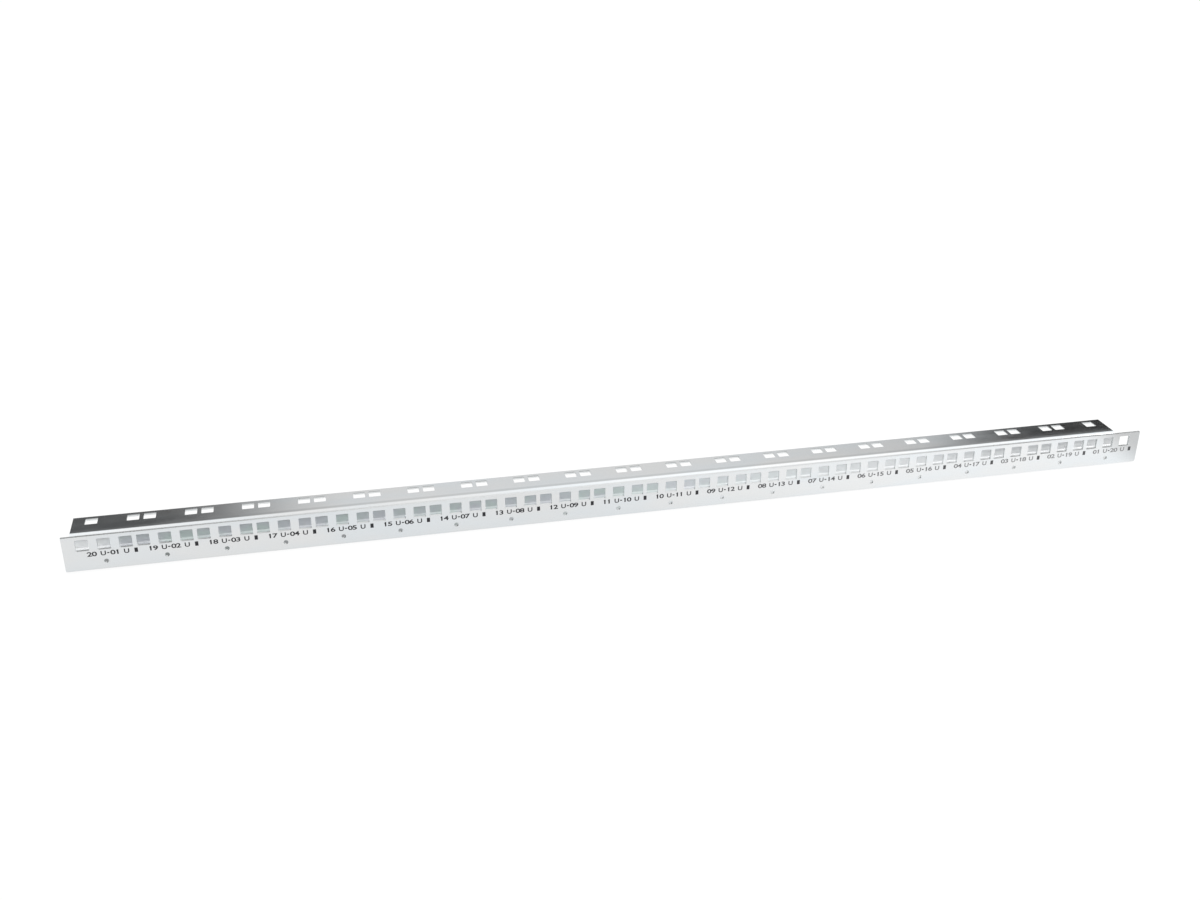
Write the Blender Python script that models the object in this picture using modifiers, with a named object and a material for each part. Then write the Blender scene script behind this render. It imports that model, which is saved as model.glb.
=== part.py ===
"""Rack mounting rail: one strip of zinc plated sheet steel, folded to a stepped channel and punched.

The section has four legs. The front flange stands upright and carries the square cage nut holes of
the rack grid, three to each rack unit. A floor web runs back from its foot, a short riser climbs
from the floor, and the rear flange lies level behind the riser, with two square holes to each unit.

The rail lies along X with the front flange facing -Y. The origin is at the middle of its footprint,
at the height of the underside of the floor web. Sizes are in metres.
"""

import math

import bmesh
import bpy
from mathutils import Matrix, Vector

# Rack grid
RACK_PITCH = 0.04445
UNIT_COUNT = 20
EDGE_HOLE_GAP = 0.0127
FRONT_HOLES_A_UNIT = 3
REAR_HOLES_A_UNIT = 2
END_MARGIN = 0.008

# Sheet and folds
SHEET = 0.002
FOLD_INNER_RADIUS = 0.0015
FOLD_STEPS = 8

# Outside sizes of the section
FLANGE_HEIGHT = 0.0305
FLOOR_DEPTH = 0.0365
STEP_HEIGHT = 0.0144
RAIL_DEPTH = 0.063

# Punched holes
SQUARE_HOLE = 0.0095
SQUARE_CORNER = 0.0006
CORNER_STEPS = 2
ROUND_HOLE = 0.0036
ROUND_SIDES = 16
FRONT_ROW_TO_FREE_EDGE = 0.0076
REAR_ROW_TO_FREE_EDGE = 0.0079
ROUND_ROW_HEIGHT = 0.008

# Worked out from the sizes above
RAIL_LENGTH = UNIT_COUNT * RACK_PITCH + 2 * END_MARGIN
FRONT_FACE_Y = -RAIL_DEPTH / 2
FRONT_ROW_Z = FLANGE_HEIGHT - FRONT_ROW_TO_FREE_EDGE
REAR_ROW_Y = RAIL_DEPTH / 2 - REAR_ROW_TO_FREE_EDGE
PUNCH_STROKE = 3 * SHEET
WELD_DISTANCE = 0.00001


def remove_all_objects():
    """Empties the scene, so that the script can run again in an open file."""
    for leftover in list(bpy.data.objects):
        bpy.data.objects.remove(leftover, do_unlink=True)


def new_collection(name):
    """Returns an empty collection of this name, linked to the scene."""
    old = bpy.data.collections.get(name)
    if old:
        bpy.data.collections.remove(old)
    collection = bpy.data.collections.new(name)
    bpy.context.scene.collection.children.link(collection)
    return collection


def zinc_plating():
    """Bright clear zinc on cold rolled steel."""
    material = bpy.data.materials.new("zinc_plating")
    material.use_nodes = True
    shader = material.node_tree.nodes["Principled BSDF"]
    shader.inputs["Base Color"].default_value = (0.74, 0.76, 0.77, 1.0)
    shader.inputs["Metallic"].default_value = 1.0
    shader.inputs["Roughness"].default_value = 0.32
    return material


def section_corners():
    """Corners of the sheet's middle line, from the front flange's free edge to the rear flange's."""
    half = SHEET / 2
    front = FRONT_FACE_Y + half
    riser = FRONT_FACE_Y + FLOOR_DEPTH - half
    shelf = STEP_HEIGHT - half
    return [
        Vector((front, FLANGE_HEIGHT)),
        Vector((front, half)),
        Vector((riser, half)),
        Vector((riser, shelf)),
        Vector((FRONT_FACE_Y + RAIL_DEPTH, shelf)),
    ]


def fold(before, corner, after, radius):
    """Points and directions along the arc that rounds one corner of the middle line."""
    way_in = (corner - before).normalized()
    way_out = (after - corner).normalized()
    turn = math.atan2(way_in.cross(way_out), way_in.dot(way_out))
    start = corner - way_in * radius * math.tan(abs(turn) / 2)
    centre = start + math.copysign(radius, turn) * Vector((-way_in.y, way_in.x))
    stations = []
    for step in range(FOLD_STEPS + 1):
        spin = Matrix.Rotation(turn * step / FOLD_STEPS, 2)
        stations.append((centre + spin @ (start - centre), spin @ way_in))
    return stations


def section_outline():
    """Closed outline of the folded sheet: one skin out and the other skin back."""
    corners = section_corners()
    stations = [(corners[0], (corners[1] - corners[0]).normalized())]
    for before, corner, after in zip(corners, corners[1:], corners[2:]):
        stations += fold(before, corner, after, FOLD_INNER_RADIUS + SHEET / 2)
    stations.append((corners[-1], (corners[-1] - corners[-2]).normalized()))
    left = [point + Vector((-way.y, way.x)) * SHEET / 2 for point, way in stations]
    right = [point - Vector((-way.y, way.x)) * SHEET / 2 for point, way in stations]
    return left + right[::-1]


def folded_blank(name, collection, material):
    """The folded sheet before punching: its outline filled and drawn out along X."""
    outline = section_outline()
    section = bpy.data.curves.new(name + "_section", "CURVE")
    section.dimensions = "2D"
    section.fill_mode = "BOTH"
    section.extrude = RAIL_LENGTH / 2
    spline = section.splines.new("POLY")
    spline.points.add(len(outline) - 1)
    spline.use_cyclic_u = True
    for station, point in zip(spline.points, outline):
        station.co = (point.x, point.y, 0.0, 1.0)
    drawn = bpy.data.objects.new(name + "_drawn", section)
    drawn.matrix_world = Matrix(((0, 0, 1, 0), (1, 0, 0, 0), (0, 1, 0, 0), (0, 0, 0, 1)))
    collection.objects.link(drawn)
    bpy.context.view_layer.update()

    evaluated = drawn.evaluated_get(bpy.context.evaluated_depsgraph_get())
    mesh = bpy.data.meshes.new_from_object(evaluated)
    welded = bmesh.new()
    welded.from_mesh(mesh)
    bmesh.ops.remove_doubles(welded, verts=welded.verts, dist=WELD_DISTANCE)
    bmesh.ops.recalc_face_normals(welded, faces=welded.faces)
    welded.to_mesh(mesh)
    welded.free()

    blank = bpy.data.objects.new(name, mesh)
    blank.matrix_world = drawn.matrix_world
    collection.objects.link(blank)
    bpy.data.objects.remove(drawn, do_unlink=True)
    mesh.materials.clear()
    mesh.materials.append(material)
    return blank


def square_punch_mesh(name):
    """A square bar along Z with rounded corners."""
    punch = bmesh.new()
    bmesh.ops.create_cube(punch, size=1.0)
    bmesh.ops.scale(punch, vec=(SQUARE_HOLE, SQUARE_HOLE, PUNCH_STROKE), verts=punch.verts)
    upright = [edge for edge in punch.edges if edge.verts[0].co.xy == edge.verts[1].co.xy]
    bmesh.ops.bevel(
        punch,
        geom=upright,
        offset=SQUARE_CORNER,
        offset_type="OFFSET",
        segments=CORNER_STEPS,
        profile=0.5,
        affect="EDGES",
    )
    mesh = bpy.data.meshes.new(name)
    punch.to_mesh(mesh)
    punch.free()
    return mesh


def round_punch_mesh(name):
    """A round bar along Z."""
    punch = bmesh.new()
    bmesh.ops.create_cone(
        punch,
        cap_ends=True,
        segments=ROUND_SIDES,
        radius1=ROUND_HOLE / 2,
        radius2=ROUND_HOLE / 2,
        depth=PUNCH_STROKE,
    )
    mesh = bpy.data.meshes.new(name)
    punch.to_mesh(mesh)
    punch.free()
    return mesh


def repeat(punch, label, count, pitch):
    """Repeats a punch along the rail."""
    row = punch.modifiers.new(label, "ARRAY")
    row.count = count
    row.use_relative_offset = False
    row.use_constant_offset = True
    row.constant_offset_displace = (pitch, 0.0, 0.0)


def punch_row(rail, name, mesh, first_hole, turn, holes_in_unit, hole_pitch, collection):
    """Punches one row of holes through the rail, the same in every rack unit."""
    punch = bpy.data.objects.new(name, mesh)
    punch.matrix_world = Matrix.Translation(first_hole) @ Matrix.Rotation(turn, 4, "X")
    punch.hide_render = True
    punch.display_type = "WIRE"
    collection.objects.link(punch)
    if holes_in_unit > 1:
        repeat(punch, "holes_in_unit", holes_in_unit, hole_pitch)
    repeat(punch, "units", UNIT_COUNT, RACK_PITCH)
    cut = rail.modifiers.new(name, "BOOLEAN")
    cut.operation = "DIFFERENCE"
    cut.solver = "EXACT"
    cut.object = punch


def mounting_rail(parts, cutters):
    """The folded strip with its three rows of punched holes."""
    rail = folded_blank("mounting_rail", parts, zinc_plating())
    first_unit = -UNIT_COUNT * RACK_PITCH / 2
    outer_hole = first_unit + EDGE_HOLE_GAP / 2
    outer_pitch = RACK_PITCH - EDGE_HOLE_GAP
    flange_middle = FRONT_FACE_Y + SHEET / 2
    shelf_middle = STEP_HEIGHT - SHEET / 2
    upright = math.pi / 2
    punch_row(
        rail,
        "front_square_holes",
        square_punch_mesh("front_square_punch"),
        Vector((outer_hole, flange_middle, FRONT_ROW_Z)),
        upright,
        FRONT_HOLES_A_UNIT,
        outer_pitch / (FRONT_HOLES_A_UNIT - 1),
        cutters,
    )
    punch_row(
        rail,
        "rear_square_holes",
        square_punch_mesh("rear_square_punch"),
        Vector((outer_hole, REAR_ROW_Y, shelf_middle)),
        0.0,
        REAR_HOLES_A_UNIT,
        outer_pitch / (REAR_HOLES_A_UNIT - 1),
        cutters,
    )
    punch_row(
        rail,
        "front_round_holes",
        round_punch_mesh("front_round_punch"),
        Vector((first_unit + RACK_PITCH / 2, flange_middle, ROUND_ROW_HEIGHT)),
        upright,
        1,
        0.0,
        cutters,
    )
    return rail


def main():
    """Builds the rail in an empty scene."""
    remove_all_objects()
    parts = new_collection("rack_mounting_rail")
    cutters = new_collection("cutters")
    mounting_rail(parts, cutters)


main()
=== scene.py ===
"""Visual model and photo view of a rack mounting rail in zinc plated sheet steel.

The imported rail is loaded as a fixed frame. A refined copy of it gets broken rims, rolled and plated
skins and sheared edges, and the unit numbers are laid on its front flange as a thin film of ink.
The stage is a white floor under a soft studio sky, seen from the photo's viewing angle.
"""

import logging
import math
from dataclasses import dataclass
from enum import Enum

import bmesh
import bpy
from mathutils import Matrix, Vector


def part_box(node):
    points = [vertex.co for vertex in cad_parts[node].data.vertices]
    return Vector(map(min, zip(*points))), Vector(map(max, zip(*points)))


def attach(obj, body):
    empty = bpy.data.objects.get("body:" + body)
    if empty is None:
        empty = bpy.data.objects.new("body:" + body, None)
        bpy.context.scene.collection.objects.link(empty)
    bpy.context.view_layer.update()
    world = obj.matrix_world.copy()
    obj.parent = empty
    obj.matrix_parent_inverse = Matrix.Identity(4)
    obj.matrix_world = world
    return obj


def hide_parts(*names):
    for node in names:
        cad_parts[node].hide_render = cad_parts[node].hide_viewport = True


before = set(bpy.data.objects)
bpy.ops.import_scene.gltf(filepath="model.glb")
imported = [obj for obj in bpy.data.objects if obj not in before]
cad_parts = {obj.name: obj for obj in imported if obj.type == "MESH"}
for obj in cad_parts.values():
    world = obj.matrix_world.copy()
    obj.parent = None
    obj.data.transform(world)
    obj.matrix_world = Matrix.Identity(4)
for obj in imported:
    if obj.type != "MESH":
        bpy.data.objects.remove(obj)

LOG = logging.getLogger("rail_scene")
MM = 0.001
WHITE = (1.0, 1.0, 1.0)
Socket = bpy.types.NodeSocket

# What a node's input takes: another node's output, a number or a colour
Term = Socket | float | tuple[float, float, float]


class Surface(Enum):
    """The rail's two kinds of surface, numbered as its material slots."""

    SKIN = 0
    SHEARED = 1


class Along(Enum):
    """The directions that the rail is marked out in."""

    X = (1.0, 0.0, 0.0)
    Y = (0.0, 1.0, 0.0)
    Z = (0.0, 0.0, 1.0)


@dataclass(frozen=True)
class RackGrid:
    """The rack units that the rail is marked out in, as many on each side of its middle."""

    units: int = 20
    pitch: float = 44.45 * MM

    def starts(self) -> list[float]:
        """Works out where each unit starts.

        Returns:
            The places along the rail, from the left.
        """
        first = -self.units * self.pitch / 2
        return [first + unit * self.pitch for unit in range(self.units)]


@dataclass(frozen=True)
class Grain:
    """A noise pattern: its grains to a metre along X, Y and Z, and how many finer layers it has."""

    scale: tuple[float, float, float]
    detail: float


class NodeSheet:
    """A node tree under construction, with short calls that add its nodes and join them."""

    def __init__(self, tree: bpy.types.NodeTree) -> None:
        """Starts on an existing tree.

        Args:
            tree: the material's or the world's node tree.
        """
        self.tree = tree

    def add(self, kind: str, **settings: object) -> bpy.types.Node:
        """Adds a node.

        Args:
            kind: the node's type name.
            settings: its own settings, such as operation.

        Returns:
            The new node.
        """
        node = self.tree.nodes.new(kind)
        for name, value in settings.items():
            setattr(node, name, value)
        return node

    def put(self, term: Term, target: Socket) -> None:
        """Gives an input what it takes.

        Args:
            term: the output to read, a number or a colour.
            target: the input.
        """
        if isinstance(term, Socket):
            self.tree.links.new(term, target)
        elif isinstance(term, tuple):
            target.default_value = (*term, 1.0)
        else:
            target.default_value = term

    def maths(self, operation: str, *terms: Term) -> Socket:
        """Works out one step of arithmetic.

        Args:
            operation: the Math node's operation.
            terms: numbers, or the outputs to read.

        Returns:
            The result's socket.
        """
        node = self.add("ShaderNodeMath", operation=operation)
        for place, term in enumerate(terms):
            self.put(term, node.inputs[place])
        return node.outputs[0]

    def product(self, first: Socket, *others: Socket) -> Socket:
        """Multiplies several outputs together.

        Args:
            first: the first factor.
            others: the other factors.

        Returns:
            The product's socket.
        """
        for factor in others:
            first = self.maths("MULTIPLY", first, factor)
        return first

    def fade(self, share: Socket, factor: float) -> Socket:
        """Turns a share into a factor: 1 where the share is 0, and the given factor where it is 1.

        Args:
            share: the share's socket.
            factor: the factor at a full share.

        Returns:
            The factor's socket.
        """
        return self.maths("MULTIPLY_ADD", share, factor - 1.0, 1.0)

    def ramp(self, value: Socket, start: float, end: float, low: float = 0.0, high: float = 1.0) -> Socket:
        """Eases a value from low at start to high at end.

        Args:
            value: the output to read.
            start: the value at which the ramp begins.
            end: the value at which it is over.
            low: the result before the ramp.
            high: the result after it.

        Returns:
            The result's socket.
        """
        node = self.add("ShaderNodeMapRange", interpolation_type="SMOOTHSTEP")
        for name, number in (("From Min", start), ("From Max", end), ("To Min", low), ("To Max", high)):
            node.inputs[name].default_value = number
        self.put(value, node.inputs["Value"])
        return node.outputs["Result"]

    def parts(self, coordinates: str = "Object") -> list[Socket]:
        """Reads a point's coordinates.

        Args:
            coordinates: the texture coordinates to read; a world's Generated ones are a direction.

        Returns:
            The sockets of X, Y and Z.
        """
        split = self.add("ShaderNodeSeparateXYZ")
        self.put(self.add("ShaderNodeTexCoord").outputs[coordinates], split.inputs["Vector"])
        return [split.outputs[name] for name in ("X", "Y", "Z")]

    def noise(self, grain: Grain) -> Socket:
        """Reads noise on the piece's own Object coordinates.

        Args:
            grain: the noise's pattern.

        Returns:
            The noise's value, about 0.5.
        """
        mapping = self.add("ShaderNodeMapping")
        mapping.inputs["Scale"].default_value = grain.scale
        speckle = self.add("ShaderNodeTexNoise")
        speckle.inputs["Scale"].default_value = 1.0
        speckle.inputs["Detail"].default_value = grain.detail
        self.put(self.add("ShaderNodeTexCoord").outputs["Object"], mapping.inputs["Vector"])
        self.put(mapping.outputs["Vector"], speckle.inputs["Vector"])
        return speckle.outputs["Fac"]

    def mix(self, share: Socket, first: Term, second: Term, kind: str = "RGBA") -> Socket:
        """Mixes two colours, or two numbers.

        Args:
            share: the second one's share, from 0 to 1.
            first: the first one.
            second: the second one.
            kind: RGBA for colours, FLOAT for numbers.

        Returns:
            The result's socket.
        """
        node = self.add("ShaderNodeMix", data_type=kind)
        for name, term in (("Factor", share), ("A", first), ("B", second)):
            self.put(term, node.inputs[name])
        return node.outputs["Result"]

    def shade(self, colour: Socket, factor: Socket) -> Socket:
        """Darkens a colour by a factor.

        Args:
            colour: the colour's socket.
            factor: the share of it that is left.

        Returns:
            The darkened colour's socket.
        """
        scale = self.add("ShaderNodeVectorMath", operation="SCALE")
        self.put(colour, scale.inputs[0])
        self.put(factor, scale.inputs["Scale"])
        return scale.outputs["Vector"]

    def bump(self, height: Socket, strength: float, depth: float) -> Socket:
        """Turns a height into a bumped normal.

        Args:
            height: the height's socket.
            strength: the bump's strength, from 0 to 1.
            depth: the depth of a full bump, in metres.

        Returns:
            The normal's socket.
        """
        node = self.add("ShaderNodeBump")
        node.inputs["Strength"].default_value = strength
        node.inputs["Distance"].default_value = depth
        self.put(height, node.inputs["Height"])
        return node.outputs["Normal"]


def new_piece(name: str, shape: bmesh.types.BMesh, *finishes: bpy.types.Material) -> bpy.types.Object:
    """Turns a mesh under construction into a piece in the scene.

    Args:
        name: the piece's name.
        shape: its mesh, which is used up.
        finishes: its materials, in the order of their slots.

    Returns:
        The piece.
    """
    mesh = bpy.data.meshes.new(name)
    for finish in finishes:
        mesh.materials.append(finish)
    shape.to_mesh(mesh)
    shape.free()
    piece = bpy.data.objects.new(name, mesh)
    bpy.context.scene.collection.objects.link(piece)
    return piece


def new_material(name: str) -> tuple[bpy.types.Material, NodeSheet, bpy.types.Node]:
    """Makes a material with a Principled shader.

    Args:
        name: the material's name.

    Returns:
        The material, its node sheet and its shader.
    """
    material = bpy.data.materials.new(name)
    material.use_nodes = True
    return material, NodeSheet(material.node_tree), material.node_tree.nodes["Principled BSDF"]


@dataclass(frozen=True)
class SkinPoint:
    """A point of the skin, as sockets that each give one distance in metres."""

    along: Socket
    up: Socket
    behind_front: Socket
    behind_riser: Socket
    below_step: Socket


@dataclass(frozen=True)
class ZincSkin:
    """Bright clear zinc over cold rolled strip.

    The rolling grain runs along the rail under faint clouds of tint. Down in the channel, where a
    plating bath throws less zinc, the skin turns duller and stained, with less stain in the right-hand
    half and at the left tip. Its colour there carries painted shade, most of all in the corner behind
    the front flange, at the right tip and on the top of the riser towards it, and painted light in the
    right-hand half and at the left tip. The folding die leaves a duller line along the front of the rear
    flange, darkened as painted shade. Each pair of places or distances is where a change starts and
    where it is over.
    """

    front_y: float
    riser_y: float
    step_z: float
    name: str = "zinc_skin"

    cool: tuple[float, float, float] = (0.722, 0.755, 0.776)
    warm: tuple[float, float, float] = (0.748, 0.757, 0.759)
    clouds: Grain = Grain((14.0, 45.0, 45.0), 3.0)
    cloud_ends: tuple[float, float] = (0.32, 0.68)

    streaks: Grain = Grain((60.0, 2600.0, 2600.0), 4.0)
    patches: Grain = Grain((35.0, 110.0, 110.0), 3.0)
    streak_share: float = 0.5
    gloss_ends: tuple[float, float] = (0.35, 0.65)
    rough_low: float = 0.12
    rough_high: float = 0.19
    rough_dull: float = 0.65
    grain_bump: float = 0.05
    grain_depth: float = 0.01 * MM

    green_stain: tuple[float, float, float] = (0.728, 0.782, 0.772)
    lilac_stain: tuple[float, float, float] = (0.752, 0.768, 0.792)
    unstained: tuple[float, float, float] = (0.766, 0.775, 0.780)
    stains: Grain = Grain((34.0, 60.0, 60.0), 2.0)
    stain_ends: tuple[float, float] = (0.38, 0.62)

    channel_front: tuple[float, float] = (0.5 * MM, 1.9 * MM)
    channel_back: tuple[float, float] = (0.3 * MM, 1.6 * MM)
    channel_floor: tuple[float, float] = (0.5 * MM, 1.9 * MM)
    channel_rim: tuple[float, float] = (3.0 * MM, 8.0 * MM)

    # Painted light at the left tip and in the right-hand half; painted shade at the right tip, on the
    # riser's top there and in the corner behind the front flange
    left_tip: tuple[float, float] = (-0.432, -0.410)
    left_tip_painted_light: float = 1.22
    right_half: tuple[float, float] = (-0.10, 0.12)
    right_half_painted_light: float = 1.15
    right_tip: tuple[float, float] = (0.24, 0.38)
    right_tip_painted_shade: float = 0.90
    right_rim: tuple[float, float] = (4.8 * MM, 9.4 * MM)
    right_rim_painted_shade: float = 0.74
    corner_opens: tuple[float, float] = (-0.40, 0.12)
    corner_painted_shade: float = 0.39
    corner_reach: tuple[float, float] = (8.0 * MM, 28.0 * MM)

    die_starts: tuple[float, float] = (2.6 * MM, 4.2 * MM)
    die_ends: tuple[float, float] = (4.6 * MM, 8.0 * MM)
    die_top: tuple[float, float] = (0.4 * MM, 1.0 * MM)
    # How far the die line's colour is darkened, as painted shade
    die_painted_shade: float = 0.86
    die_rough: tuple[float, float] = (0.12, 0.18)
    die_reach: tuple[float, float] = (-0.24, 0.24)

    def material(self) -> bpy.types.Material:
        """Builds the finish.

        Returns:
            The material.
        """
        material, sheet, shader = new_material(self.name)
        shader.inputs["Metallic"].default_value = 1.0
        point = self.point(sheet)
        recess = self.recess(sheet, point)
        line = self.die_line(sheet, point)
        clouds = sheet.ramp(sheet.noise(self.clouds), *self.cloud_ends)
        bright = sheet.mix(clouds, self.cool, self.warm)
        # The channel's stains, with painted light and shade laid over their colour
        dull = sheet.shade(self.stained(sheet, point), self.cover(sheet, point))
        # The die line is darkened as painted shade
        colour = sheet.shade(sheet.mix(recess, bright, dull), sheet.fade(line, self.die_painted_shade))
        sheet.put(colour, shader.inputs["Base Color"])
        streaks = sheet.noise(self.streaks)
        sheet.put(self.roughness(sheet, point, streaks, recess, line), shader.inputs["Roughness"])
        sheet.put(sheet.bump(streaks, self.grain_bump, self.grain_depth), shader.inputs["Normal"])
        return material

    def point(self, sheet: NodeSheet) -> SkinPoint:
        """Works out where a point lies.

        Args:
            sheet: the material's node sheet.

        Returns:
            The point.
        """
        along, across, up = sheet.parts()
        return SkinPoint(
            along=along,
            up=up,
            behind_front=sheet.maths("SUBTRACT", across, self.front_y),
            behind_riser=sheet.maths("SUBTRACT", across, self.riser_y),
            below_step=sheet.maths("SUBTRACT", self.step_z, up),
        )

    def recess(self, sheet: NodeSheet, point: SkinPoint) -> Socket:
        """Works out how far down in the channel a point lies.

        Args:
            sheet: the material's node sheet.
            point: the point.

        Returns:
            A share from 0 outside the channel to 1 within it.
        """
        return sheet.product(
            sheet.ramp(point.behind_front, *self.channel_front),
            sheet.ramp(point.behind_riser, *self.channel_back, 1.0, 0.0),
            sheet.ramp(point.up, *self.channel_floor),
            sheet.ramp(point.below_step, *self.channel_rim),
        )

    def stained(self, sheet: NodeSheet, point: SkinPoint) -> Socket:
        """Mixes the channel's stains, which fade towards the right and at the left tip.

        Args:
            sheet: the material's node sheet.
            point: the point.

        Returns:
            The dull skin's colour.
        """
        stains = sheet.ramp(sheet.noise(self.stains), *self.stain_ends)
        fade = sheet.maths(
            "MAXIMUM",
            sheet.ramp(point.along, self.right_half[0], self.right_tip[0]),
            sheet.ramp(point.along, *self.left_tip, 1.0, 0.0),
        )
        return sheet.mix(fade, sheet.mix(stains, self.green_stain, self.lilac_stain), self.unstained)

    def cover(self, sheet: NodeSheet, point: SkinPoint) -> Socket:
        """Works out the painted light and shade on the channel's dull skin.

        Args:
            sheet: the material's node sheet.
            point: the point.

        Returns:
            A factor for the dull skin's colour: painted shade in the corner behind the front flange and at
            the right tip, painted light in the right-hand half and at the left tip.
        """
        # Painted shade in the corner behind the front flange, lifting along the rail and away from the
        # flange
        corner = sheet.ramp(point.along, *self.corner_opens, self.corner_painted_shade, 1.0)
        outside_corner_shade = sheet.ramp(point.behind_front, *self.corner_reach)
        # Painted shade on the riser's top towards the right tip
        riser_top = sheet.ramp(point.below_step, *self.right_rim, 1.0, 0.0)
        painted_rim_mask = sheet.product(riser_top, sheet.ramp(point.along, *self.right_tip))
        return sheet.product(
            # Painted light at the left tip and in the right-hand half, painted shade at the right tip, on
            # its riser top and in the corner
            sheet.ramp(point.along, *self.left_tip, self.left_tip_painted_light, 1.0),
            sheet.ramp(point.along, *self.right_half, 1.0, self.right_half_painted_light),
            sheet.ramp(point.along, *self.right_tip, 1.0, self.right_tip_painted_shade),
            sheet.fade(painted_rim_mask, self.right_rim_painted_shade),
            sheet.maths("MULTIPLY_ADD", outside_corner_shade, sheet.maths("SUBTRACT", 1.0, corner), corner),
        )

    def die_line(self, sheet: NodeSheet, point: SkinPoint) -> Socket:
        """Works out the line that the folding die leaves beside the upper fold.

        Args:
            sheet: the material's node sheet.
            point: the point.

        Returns:
            A share from 0 away from the line to 1 on it.
        """
        return sheet.product(
            sheet.ramp(point.behind_riser, *self.die_starts),
            sheet.ramp(point.behind_riser, *self.die_ends, 1.0, 0.0),
            sheet.ramp(point.below_step, *self.die_top, 1.0, 0.0),
        )

    def roughness(
        self,
        sheet: NodeSheet,
        point: SkinPoint,
        streaks: Socket,
        recess: Socket,
        line: Socket,
    ) -> Socket:
        """Works out how rough a point is.

        Args:
            sheet: the material's node sheet.
            point: the point.
            streaks: the rolling grain's noise.
            recess: the channel's share.
            line: the die line's share.

        Returns:
            The roughness.
        """
        patches = sheet.maths("MULTIPLY", sheet.noise(self.patches), 1.0 - self.streak_share)
        blend = sheet.maths("MULTIPLY_ADD", streaks, self.streak_share, patches)
        smooth = sheet.ramp(blend, *self.gloss_ends, self.rough_low, self.rough_high)
        fall = sheet.maths("SUBTRACT", self.rough_dull, smooth)
        rubbed = sheet.product(line, sheet.ramp(point.along, *self.die_reach, *self.die_rough))
        return sheet.maths("MULTIPLY_ADD", sheet.maths("MAXIMUM", recess, rubbed), fall, smooth)


@dataclass(frozen=True)
class ShearedEdge:
    """The sheet's cut edges and punched hole walls: duller zinc over a cut with a burnish band and a torn
    band.

    The rear flange was punched from below, so its cuts have a burnish band there, lifted past full
    brightness as painted light, and are torn dark above.
    """

    shelf_y: float
    step_z: float
    name: str = "sheared_edge"
    bright: tuple[float, float, float] = (0.90, 0.92, 0.92)
    dull: tuple[float, float, float] = (0.80, 0.82, 0.82)
    tears: Grain = Grain((2200.0, 700.0, 700.0), 4.0)
    tear_ends: tuple[float, float] = (0.35, 0.65)
    rough: tuple[float, float] = (0.27, 0.38)
    # The burnish band's gain, above 1 as painted light
    burnish_painted_light: float = 1.16
    torn: float = 0.66
    torn_below_top: tuple[float, float] = (0.55 * MM, 1.05 * MM)
    shelf_blend: float = 1.0 * MM
    tear_bump: float = 0.35
    tear_depth: float = 0.03 * MM

    def material(self) -> bpy.types.Material:
        """Builds the finish.

        Returns:
            The material.
        """
        material, sheet, shader = new_material(self.name)
        shader.inputs["Metallic"].default_value = 1.0
        _, across, up = sheet.parts()
        tears = sheet.noise(self.tears)
        zinc = sheet.mix(sheet.ramp(tears, *self.tear_ends), self.bright, self.dull)
        below_top = sheet.maths("SUBTRACT", self.step_z, up)
        # The burnish band is lifted past full brightness as painted light; the torn band is darker
        cut = sheet.ramp(below_top, *self.torn_below_top, self.torn, self.burnish_painted_light)
        on_shelf = sheet.ramp(across, self.shelf_y, self.shelf_y + self.shelf_blend)
        cut_tone_with_painted_light = sheet.maths("MULTIPLY_ADD", on_shelf, sheet.maths("SUBTRACT", cut, 1.0), 1.0)
        sheet.put(sheet.shade(zinc, cut_tone_with_painted_light), shader.inputs["Base Color"])
        sheet.put(sheet.ramp(tears, *self.tear_ends, *self.rough), shader.inputs["Roughness"])
        sheet.put(sheet.bump(tears, self.tear_bump, self.tear_depth), shader.inputs["Normal"])
        return material


@dataclass(frozen=True)
class PrintInk:
    """Black marking ink, a little thinner where the plating is smoothest, and paler to the right."""

    name: str = "print_ink"
    thick: tuple[float, float, float] = (0.012, 0.012, 0.016)
    thin: tuple[float, float, float] = (0.045, 0.046, 0.052)
    pale: tuple[float, float, float] = (0.300, 0.302, 0.308)
    pales: tuple[float, float] = (-0.05, 0.38)
    cover: Grain = Grain((1800.0, 1800.0, 1800.0), 3.0)
    black_ends: tuple[float, float] = (0.40, 0.75)
    grey_ends: tuple[float, float] = (0.20, 0.50)
    gloss_ends: tuple[float, float] = (0.30, 0.70)
    rough: tuple[float, float] = (0.42, 0.60)
    gloss: float = 0.35

    def material(self) -> bpy.types.Material:
        """Builds the finish.

        Returns:
            The material.
        """
        material, sheet, shader = new_material(self.name)
        along = sheet.parts()[0]
        cover = sheet.noise(self.cover)
        black = sheet.mix(sheet.ramp(cover, *self.black_ends), self.thick, self.thin)
        grey = sheet.mix(sheet.ramp(cover, *self.grey_ends), self.thin, self.pale)
        ink = sheet.mix(sheet.ramp(along, *self.pales), black, grey)
        sheet.put(ink, shader.inputs["Base Color"])
        sheet.put(sheet.ramp(cover, *self.gloss_ends, *self.rough), shader.inputs["Roughness"])
        shader.inputs["Specular IOR Level"].default_value = self.gloss
        return material


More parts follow.
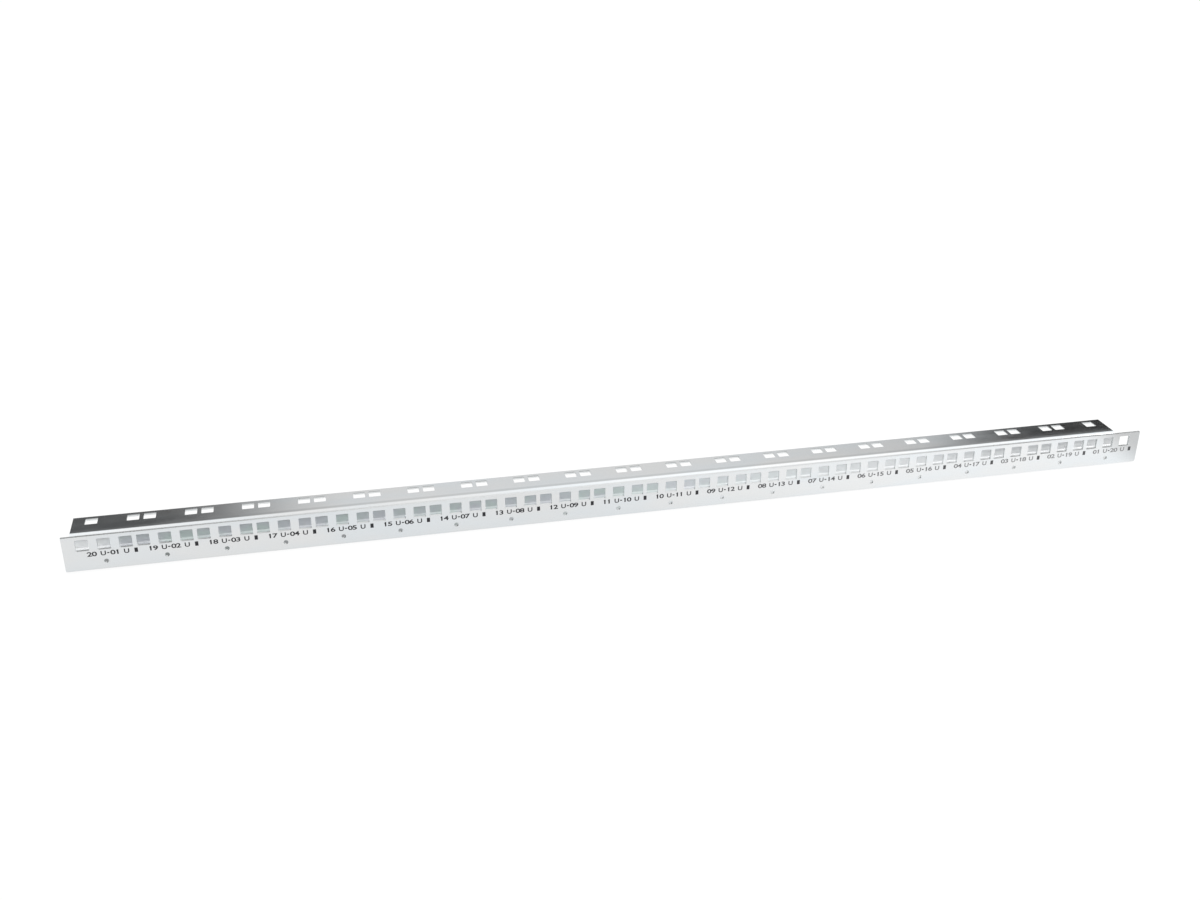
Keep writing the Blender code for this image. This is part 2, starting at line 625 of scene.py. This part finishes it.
@dataclass(frozen=True)
class FloorWhite:
    """White floor paper: it fills the background and shows in the metal, and keeps a faint shadow.

    What the metal mirrors of it grows brighter to the right, and falls off past the rail's end.
    """

    name: str = "floor_white"
    seen: float = 0.88
    mirrored: tuple[float, float] = (0.85, 1.0)
    brightens: tuple[float, float] = (-0.12, 0.30)
    falls: tuple[float, float] = (0.435, 0.480)
    fallen: float = 0.60
    cover: float = 0.15
    plain: float = 0.85
    rough: float = 0.9

    def material(self) -> bpy.types.Material:
        """Builds the finish: white to the camera and in the metal, plain matt white to the rest.

        Returns:
            The material.
        """
        material, sheet, shader = new_material(self.name)
        shader.inputs["Roughness"].default_value = self.rough
        shader.inputs["Specular IOR Level"].default_value = 0.0
        path = sheet.add("ShaderNodeLightPath")
        seen = path.outputs["Is Camera Ray"]
        mirror = sheet.maths("MAXIMUM", path.outputs["Is Glossy Ray"], path.outputs["Is Transmission Ray"])
        either = sheet.maths("MAXIMUM", seen, mirror)
        paper = sheet.mix(either, (self.plain,) * 3, (self.cover,) * 3)
        sheet.put(paper, shader.inputs["Base Color"])
        along = sheet.parts()[0]
        level = sheet.product(
            sheet.ramp(along, *self.brightens, *self.mirrored),
            sheet.ramp(along, *self.falls, 1.0, self.fallen),
        )
        glow = sheet.maths(
            "ADD",
            sheet.maths("MULTIPLY", seen, self.seen),
            sheet.maths("MULTIPLY", mirror, level),
        )
        sheet.put(WHITE, shader.inputs["Emission Color"])
        sheet.put(glow, shader.inputs["Emission Strength"])
        return material


@dataclass
class PunchedRail:
    """The folded and punched strip: the CAD solid with clean faces, broken rims and its finishes."""

    node: str = "mounting_rail"
    name: str = "plated_rail"
    grid: RackGrid = RackGrid()
    edge_hole_inset: float = 6.35 * MM
    sheet: float = 2.0 * MM
    fold_height: float = 4.0 * MM
    step_height: float = 14.4 * MM
    front_row_below_edge: float = 7.6 * MM
    rear_row_from_edge: float = 7.9 * MM
    round_row_height: float = 8.0 * MM
    riser_depth: float = 34.5 * MM
    shelf_depth: float = 40.0 * MM
    edge_margin: float = 0.2 * MM
    rim_width: float = 0.14 * MM
    rim_segments: int = 2
    rim_angle: float = math.radians(60.0)
    face_weight: int = 100
    merge_distance: float = 0.002 * MM
    flat_limit: float = math.radians(1.0)

    def __post_init__(self) -> None:
        """Takes the rail's reach from the frame, and sets its plating out on it."""
        self.low, self.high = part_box(self.node)
        self.skin = ZincSkin(self.low.y, self.low.y + self.riser_depth, self.step_height)
        self.edge = ShearedEdge(self.low.y + self.shelf_depth, self.step_height)

    def build(self) -> bpy.types.Object:
        """Builds the rail's visual piece in the CAD node's place.

        Returns:
            The finished piece.
        """
        steel = bmesh.new()
        steel.from_mesh(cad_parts[self.node].data)
        bmesh.ops.remove_doubles(steel, verts=steel.verts, dist=self.merge_distance)
        self.mark_out(steel)
        self.clean_faces(steel)
        self.sort_surfaces(steel)
        rail = new_piece(self.name, steel, self.skin.material(), self.edge.material())
        rail.data.shade_smooth()
        self.break_rims(rail)
        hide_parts(self.node)
        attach(rail, "root")
        return rail

    def mark_out(self, steel: bmesh.types.BMesh) -> None:
        """Cuts the faces through the middle of every hole, so that no face has a hole inside it.

        Args:
            steel: the rail's mesh.
        """
        spots = (self.edge_hole_inset, self.grid.pitch / 2, self.grid.pitch - self.edge_hole_inset)
        lines = [(Along.X, start + spot) for start in self.grid.starts() for spot in spots]
        lines.append((Along.Z, self.high.z - self.front_row_below_edge))
        lines.append((Along.Z, self.round_row_height))
        lines.append((Along.Y, self.high.y - self.rear_row_from_edge))
        for along, place in lines:
            normal = Vector(along.value)
            cut = bmesh.ops.bisect_plane(
                steel,
                geom=steel.verts[:] + steel.edges[:] + steel.faces[:],
                dist=self.merge_distance,
                plane_co=normal * place,
                plane_no=normal,
            )
            for line in cut["geom_cut"]:
                if isinstance(line, bmesh.types.BMEdge):
                    line.seam = True

    def clean_faces(self, steel: bmesh.types.BMesh) -> None:
        """Melts the flat triangles between the marked lines into single faces.

        Args:
            steel: the rail's mesh.
        """
        bmesh.ops.dissolve_limit(
            steel,
            angle_limit=self.flat_limit,
            verts=steel.verts,
            edges=steel.edges,
            delimit={"SEAM"},
        )
        for line in steel.edges:
            line.seam = False

    def sort_surfaces(self, steel: bmesh.types.BMesh) -> None:
        """Gives the sheared finish to every face within the sheet's thickness.

        Args:
            steel: the rail's mesh.
        """
        margin = self.edge_margin
        in_flange = (self.low.y + margin, self.low.y + self.sheet - margin)
        in_shelf = (self.step_height - self.sheet + margin, self.step_height - margin)
        for face in steel.faces:
            middle = face.calc_center_median()
            end = abs(middle.x) > self.high.x - margin
            flange = in_flange[0] < middle.y < in_flange[1] and middle.z > self.fold_height
            shelf = in_shelf[0] < middle.z < in_shelf[1] and middle.y > self.edge.shelf_y
            face.material_index = (Surface.SHEARED if end or flange or shelf else Surface.SKIN).value

    def break_rims(self, rail: bpy.types.Object) -> None:
        """Breaks the sharp rims, and keeps the flat faces' shading flat up to them.

        Args:
            rail: the rail's visual piece.
        """
        rims = rail.modifiers.new("broken_rims", "BEVEL")
        rims.limit_method = "ANGLE"
        rims.angle_limit = self.rim_angle
        rims.width = self.rim_width
        rims.segments = self.rim_segments
        rims.profile = 0.5
        rims.material = -1
        normals = rail.modifiers.new("flat_first", "WEIGHTED_NORMAL")
        normals.weight = self.face_weight
        normals.keep_sharp = True


@dataclass
class UnitLegend:
    """The print under the square holes: each unit's number from both ends, and a block."""

    grid: RackGrid = RackGrid()
    cap_height: float = 3.58 * MM
    middle_height: float = 14.85 * MM
    font_cap: float = 0.682
    font_steps: int = 4
    digit_spread: float = 1.48
    letter_spread: float = 1.15
    weight: float = 0.024
    flag_size: tuple[float, float] = (1.15 * MM, 0.62 * MM)
    flag_turn: float = math.radians(38.0)
    flag_shift: float = 0.46 * MM
    flag_film: float = 0.027 * MM
    film: float = 0.03 * MM
    first_digits: tuple[float, float] = (10.8 * MM, 14.35 * MM)
    second_digits: tuple[float, float] = (27.75 * MM, 31.2 * MM)
    letters: tuple[float, float] = (20.8 * MM, 37.7 * MM)
    hyphen: float = 24.4 * MM
    hyphen_size: tuple[float, float] = (1.7 * MM, 0.9 * MM)
    block: float = 44.65 * MM
    block_size: tuple[float, float] = (2.5 * MM, 3.8 * MM)
    corner: float = 0.12 * MM
    corner_segments: int = 3
    merge_distance: float = 0.001 * MM
    number_ink: PrintInk = PrintInk()
    block_ink: PrintInk = PrintInk(name="block_ink", pale=(0.10, 0.10, 0.104))

    def __post_init__(self) -> None:
        """Takes the flange's face from the frame."""
        self.face_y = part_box("mounting_rail")[0].y

    def build(self) -> list[bpy.types.Object]:
        """Builds the print.

        Returns:
            The numbers and letters, and the bars and blocks, as two pieces.
        """
        letters = bmesh.new()
        blocks = bmesh.new()
        shapes = {mark: self.character(mark) for mark in "0123456789U"}
        for unit, start in enumerate(self.grid.starts()):
            up = f"{self.grid.units - unit:02d}"
            down = f"{unit + 1:02d}"
            marks = list(zip(up, self.first_digits)) + list(zip(down, self.second_digits))
            marks += [("U", place) for place in self.letters]
            for mark, place in marks:
                self.lay(letters, shapes[mark], start + place, mark.isdigit())
                if mark == "1":
                    self.flag(letters, start + place)
            self.bar(blocks, start + self.hyphen, self.hyphen_size)
            self.bar(blocks, start + self.block, self.block_size)
        for shape in shapes.values():
            bpy.data.meshes.remove(shape)
        return [
            self.finished("printed_numbers", letters, self.number_ink),
            self.finished("printed_blocks", blocks, self.block_ink),
        ]

    def character(self, mark: str) -> bpy.types.Mesh:
        """Makes one character as a thin solid, centred, one unit of size to the cap height.

        Args:
            mark: the character.

        Returns:
            Its mesh, lying in the XY plane.
        """
        text = bpy.data.curves.new("character_" + mark, "FONT")
        text.body = mark
        text.align_x = "CENTER"
        text.resolution_u = self.font_steps
        text.extrude = self.film / 2
        text.offset = self.weight
        holder = bpy.data.objects.new("character_" + mark, text)
        bpy.context.scene.collection.objects.link(holder)
        bpy.context.view_layer.update()
        evaluated = holder.evaluated_get(bpy.context.evaluated_depsgraph_get())
        mesh = bpy.data.meshes.new_from_object(evaluated)
        bpy.data.objects.remove(holder)
        bpy.data.curves.remove(text)
        return mesh

    def lay(self, target: bmesh.types.BMesh, shape: bpy.types.Mesh, place: float, digit: bool) -> None:
        """Lays a character on the flange.

        Args:
            target: the mesh that takes it.
            shape: the character's mesh.
            place: its centre along the rail.
            digit: whether it is a digit, which is spread wider than a letter.
        """
        before = len(target.verts)
        target.from_mesh(shape)
        target.verts.ensure_lookup_table()
        added = target.verts[before:]
        size = self.cap_height / self.font_cap
        spread = self.digit_spread if digit else self.letter_spread
        bmesh.ops.scale(target, verts=added, vec=(size * spread, size, 1.0))
        bmesh.ops.translate(target, verts=added, vec=(place, -self.cap_height / 2, 0.0))
        self.stand_up(target, added)

    def stand_up(self, target: bmesh.types.BMesh, verts: list[bmesh.types.BMVert]) -> None:
        """Turns flat print upright and puts it on the flange's face.

        Args:
            target: the mesh that holds it.
            verts: the print's vertices.
        """
        bmesh.ops.rotate(target, verts=verts, cent=(0, 0, 0), matrix=Matrix.Rotation(math.pi / 2, 3, "X"))
        bmesh.ops.translate(target, verts=verts, vec=(0.0, self.face_y - self.film / 2, self.middle_height))

    def flag(self, target: bmesh.types.BMesh, place: float) -> None:
        """Lays the slanted flag of a figure one, which the plain font leaves out.

        Args:
            target: the mesh that takes it.
            place: the figure's centre along the rail.
        """
        width, thickness = self.flag_size
        made = bmesh.ops.create_cube(target, size=1.0)["verts"]
        bmesh.ops.scale(target, verts=made, vec=(width, thickness, self.flag_film))
        bmesh.ops.rotate(target, verts=made, cent=(0, 0, 0), matrix=Matrix.Rotation(self.flag_turn, 3, "Z"))
        rise = self.cap_height / 2 - width / 2
        bmesh.ops.translate(target, verts=made, vec=(place - self.flag_shift, rise, 0.0))
        self.stand_up(target, made)

    def bar(self, target: bmesh.types.BMesh, place: float, size: tuple[float, float]) -> None:
        """Lays a filled bar on the flange.

        Args:
            target: the mesh that takes it.
            place: its centre along the rail.
            size: its width and height.
        """
        made = bmesh.ops.create_cube(target, size=1.0)["verts"]
        bmesh.ops.scale(target, verts=made, vec=(*size, self.film))
        upright = [
            line
            for line in {edge for vert in made for edge in vert.link_edges}
            if (line.verts[0].co - line.verts[1].co).xy.length < self.film
        ]
        rounded = bmesh.ops.bevel(
            target,
            geom=upright,
            offset=self.corner,
            offset_type="OFFSET",
            segments=self.corner_segments,
            profile=0.5,
            affect="EDGES",
            material=-1,
        )
        corners = {vert for face in rounded["faces"] for vert in face.verts}
        whole = list({vert for corner in corners for face in corner.link_faces for vert in face.verts})
        bmesh.ops.translate(target, verts=whole, vec=(place, 0.0, 0.0))
        self.stand_up(target, whole)

    def finished(self, name: str, shape: bmesh.types.BMesh, ink: PrintInk) -> bpy.types.Object:
        """Turns a mesh under construction into a piece of print.

        Args:
            name: the piece's name.
            shape: its mesh.
            ink: its finish.

        Returns:
            The piece.
        """
        bmesh.ops.remove_doubles(shape, verts=shape.verts, dist=self.merge_distance)
        piece = new_piece(name, shape, ink.material())
        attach(piece, "root")
        return piece


@dataclass
class StudioFloor:
    """The level floor that the rail lies on."""

    reach: float = 6.0
    below: float = 0.05 * MM
    white: FloorWhite = FloorWhite()

    def build(self) -> bpy.types.Object:
        """Builds the floor.

        Returns:
            The floor.
        """
        slab = bmesh.new()
        bmesh.ops.create_grid(slab, x_segments=1, y_segments=1, size=self.reach)
        bmesh.ops.translate(slab, verts=slab.verts, vec=(0.0, 0.0, -self.below))
        floor = new_piece("studio_floor", slab, self.white.material())
        return floor


@dataclass
class StudioSky:
    """The studio round the rail.

    The walls and the ceiling are pale. Behind the rail a lit panel stands between dark flats, whose
    straight top edge slants down to the right. Across, back and up are the parts of a direction,
    each from -1 to 1, and bearings are measured from straight back to the right. A pair of levels
    is the brightness on the left and on the right.
    """

    walls: float = 0.5
    left_wall: float = 1.5
    left_wall_turn: tuple[float, float] = (-0.95, -0.75)
    ceiling: tuple[float, float] = (1.03, 1.34)
    ceiling_turn: tuple[float, float] = (0.0, 0.3)
    ceiling_rise: tuple[float, float] = (0.2, 0.95)
    left_lift: float = 0.25
    left_lift_turn: tuple[float, float] = (-0.22, 0.0)
    panel: float = 0.845
    panel_left: tuple[float, float] = (math.radians(-7.0), math.radians(1.0))
    panel_right: tuple[float, float] = (math.radians(27.8), math.radians(32.0))
    panel_fade: tuple[float, float] = (math.radians(16.0), math.radians(30.0))
    faded: float = 0.8
    flats: tuple[float, float] = (0.10, 0.030)
    flats_top: tuple[float, float] = (math.radians(34.0), math.radians(44.0))
    flats_slant: float = 0.10
    flats_back: tuple[float, float] = (0.0, 0.25)

    def build(self) -> bpy.types.World:
        """Builds the sky: plain white to the camera, and the studio to the rest.

        Returns:
            The world.
        """
        world = bpy.data.worlds.new("studio_sky")
        world.use_nodes = True
        sheet = NodeSheet(world.node_tree)
        across, back, up = sheet.parts("Generated")
        nearer = sheet.maths("MULTIPLY_ADD", across, -self.flats_slant, back)
        low = sheet.ramp(sheet.maths("ARCTAN2", up, nearer), *self.flats_top, 1.0, 0.0)
        behind = sheet.product(low, sheet.ramp(back, *self.flats_back))
        room = self.room(sheet, across, up)
        level = sheet.mix(behind, room, self.backdrop(sheet, across, back), "FLOAT")
        seen = sheet.add("ShaderNodeLightPath").outputs["Is Camera Ray"]
        background = world.node_tree.nodes["Background"]
        sheet.put(WHITE, background.inputs["Color"])
        sheet.put(sheet.mix(seen, level, 1.0, "FLOAT"), background.inputs["Strength"])
        bpy.context.scene.world = world
        return world

    def room(self, sheet: NodeSheet, across: Socket, up: Socket) -> Socket:
        """Works out how bright the walls and the ceiling are.

        Args:
            sheet: the world's node sheet.
            across: a direction's part along the rail.
            up: its upward part.

        Returns:
            The brightness.
        """
        ceiling = sheet.maths(
            "ADD",
            sheet.ramp(across, *self.ceiling_turn, *self.ceiling),
            sheet.ramp(across, *self.left_lift_turn, self.left_lift, 0.0),
        )
        rise = sheet.maths("SUBTRACT", ceiling, self.walls)
        return sheet.maths(
            "ADD",
            sheet.maths("MULTIPLY_ADD", sheet.ramp(up, *self.ceiling_rise), rise, self.walls),
            sheet.ramp(across, *self.left_wall_turn, self.left_wall - self.walls, 0.0),
        )

    def backdrop(self, sheet: NodeSheet, across: Socket, back: Socket) -> Socket:
        """Works out how bright the lit panel and the dark flats beside it are.

        Args:
            sheet: the world's node sheet.
            across: a direction's part along the rail.
            back: its part away from the camera.

        Returns:
            The brightness.
        """
        bearing = sheet.maths("ARCTAN2", across, back)
        window = sheet.product(
            sheet.ramp(bearing, *self.panel_left),
            sheet.ramp(bearing, *self.panel_right, 1.0, 0.0),
        )
        lit = sheet.ramp(bearing, *self.panel_fade, self.panel, self.panel * self.faded)
        dark = sheet.ramp(bearing, *self.panel_fade, *self.flats)
        return sheet.maths("MULTIPLY_ADD", window, sheet.maths("SUBTRACT", lit, dark), dark)


@dataclass
class Softbox:
    """A flat studio lamp."""

    name: str
    place: tuple[float, float, float]
    target: tuple[float, float, float]
    size: tuple[float, float]
    radiance: float

    def build(self) -> bpy.types.Object:
        """Builds the lamp.

        Returns:
            The lamp, turned towards its target.
        """
        data = bpy.data.lights.new(self.name, "AREA")
        data.shape = "RECTANGLE"
        data.size, data.size_y = self.size
        data.energy = self.radiance * math.pi * self.size[0] * self.size[1]
        lamp = bpy.data.objects.new(self.name, data)
        lamp.location = self.place
        way = Vector(self.target) - Vector(self.place)
        lamp.rotation_euler = way.to_track_quat("-Z", "Y").to_euler()
        lamp.visible_camera = False
        bpy.context.scene.collection.objects.link(lamp)
        return lamp


@dataclass
class PhotoCamera:
    """The camera at the photo's viewing angle."""

    place: tuple[float, float, float] = (-257.07 * MM, -975.28 * MM, 529.78 * MM)
    yaw: float = math.radians(-13.064)
    tilt: float = math.radians(64.244)
    roll: float = math.radians(0.395)
    lens: float = 40.315
    sensor: float = 36.0
    nearest: float = 0.05
    furthest: float = 50.0

    def build(self) -> bpy.types.Object:
        """Builds the camera and makes it the scene's.

        Returns:
            The camera.
        """
        data = bpy.data.cameras.new("photo_camera")
        data.lens = self.lens
        data.sensor_width = self.sensor
        data.sensor_fit = "HORIZONTAL"
        data.clip_start = self.nearest
        data.clip_end = self.furthest
        camera = bpy.data.objects.new("photo_camera", data)
        turn = (
            Matrix.Rotation(self.yaw, 4, "Z")
            @ Matrix.Rotation(self.tilt, 4, "X")
            @ Matrix.Rotation(self.roll, 4, "Z")
        )
        camera.matrix_world = Matrix.Translation(self.place) @ turn
        bpy.context.scene.collection.objects.link(camera)
        bpy.context.scene.camera = camera
        return camera


def report(piece: bpy.types.Object) -> None:
    """Logs a piece's name and how many faces it has."""
    LOG.info("%s: %d faces", piece.name, len(piece.data.polygons))


def main() -> None:
    """Builds the rail's pieces, the stage and the camera."""
    logging.basicConfig(level=logging.INFO, format="%(message)s")
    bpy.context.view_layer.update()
    bpy.context.scene.view_settings.view_transform = "Standard"
    report(PunchedRail().build())
    for piece in UnitLegend().build():
        report(piece)
    report(StudioFloor().build())
    StudioSky().build()
    Softbox(
        name="side_softbox",
        place=(1.35, -0.4, 0.75),
        target=(0.2, 0.0, 0.0),
        size=(0.6, 0.5),
        radiance=6.0,
    ).build()
    PhotoCamera().build()


if __name__ == "__main__":
    main()
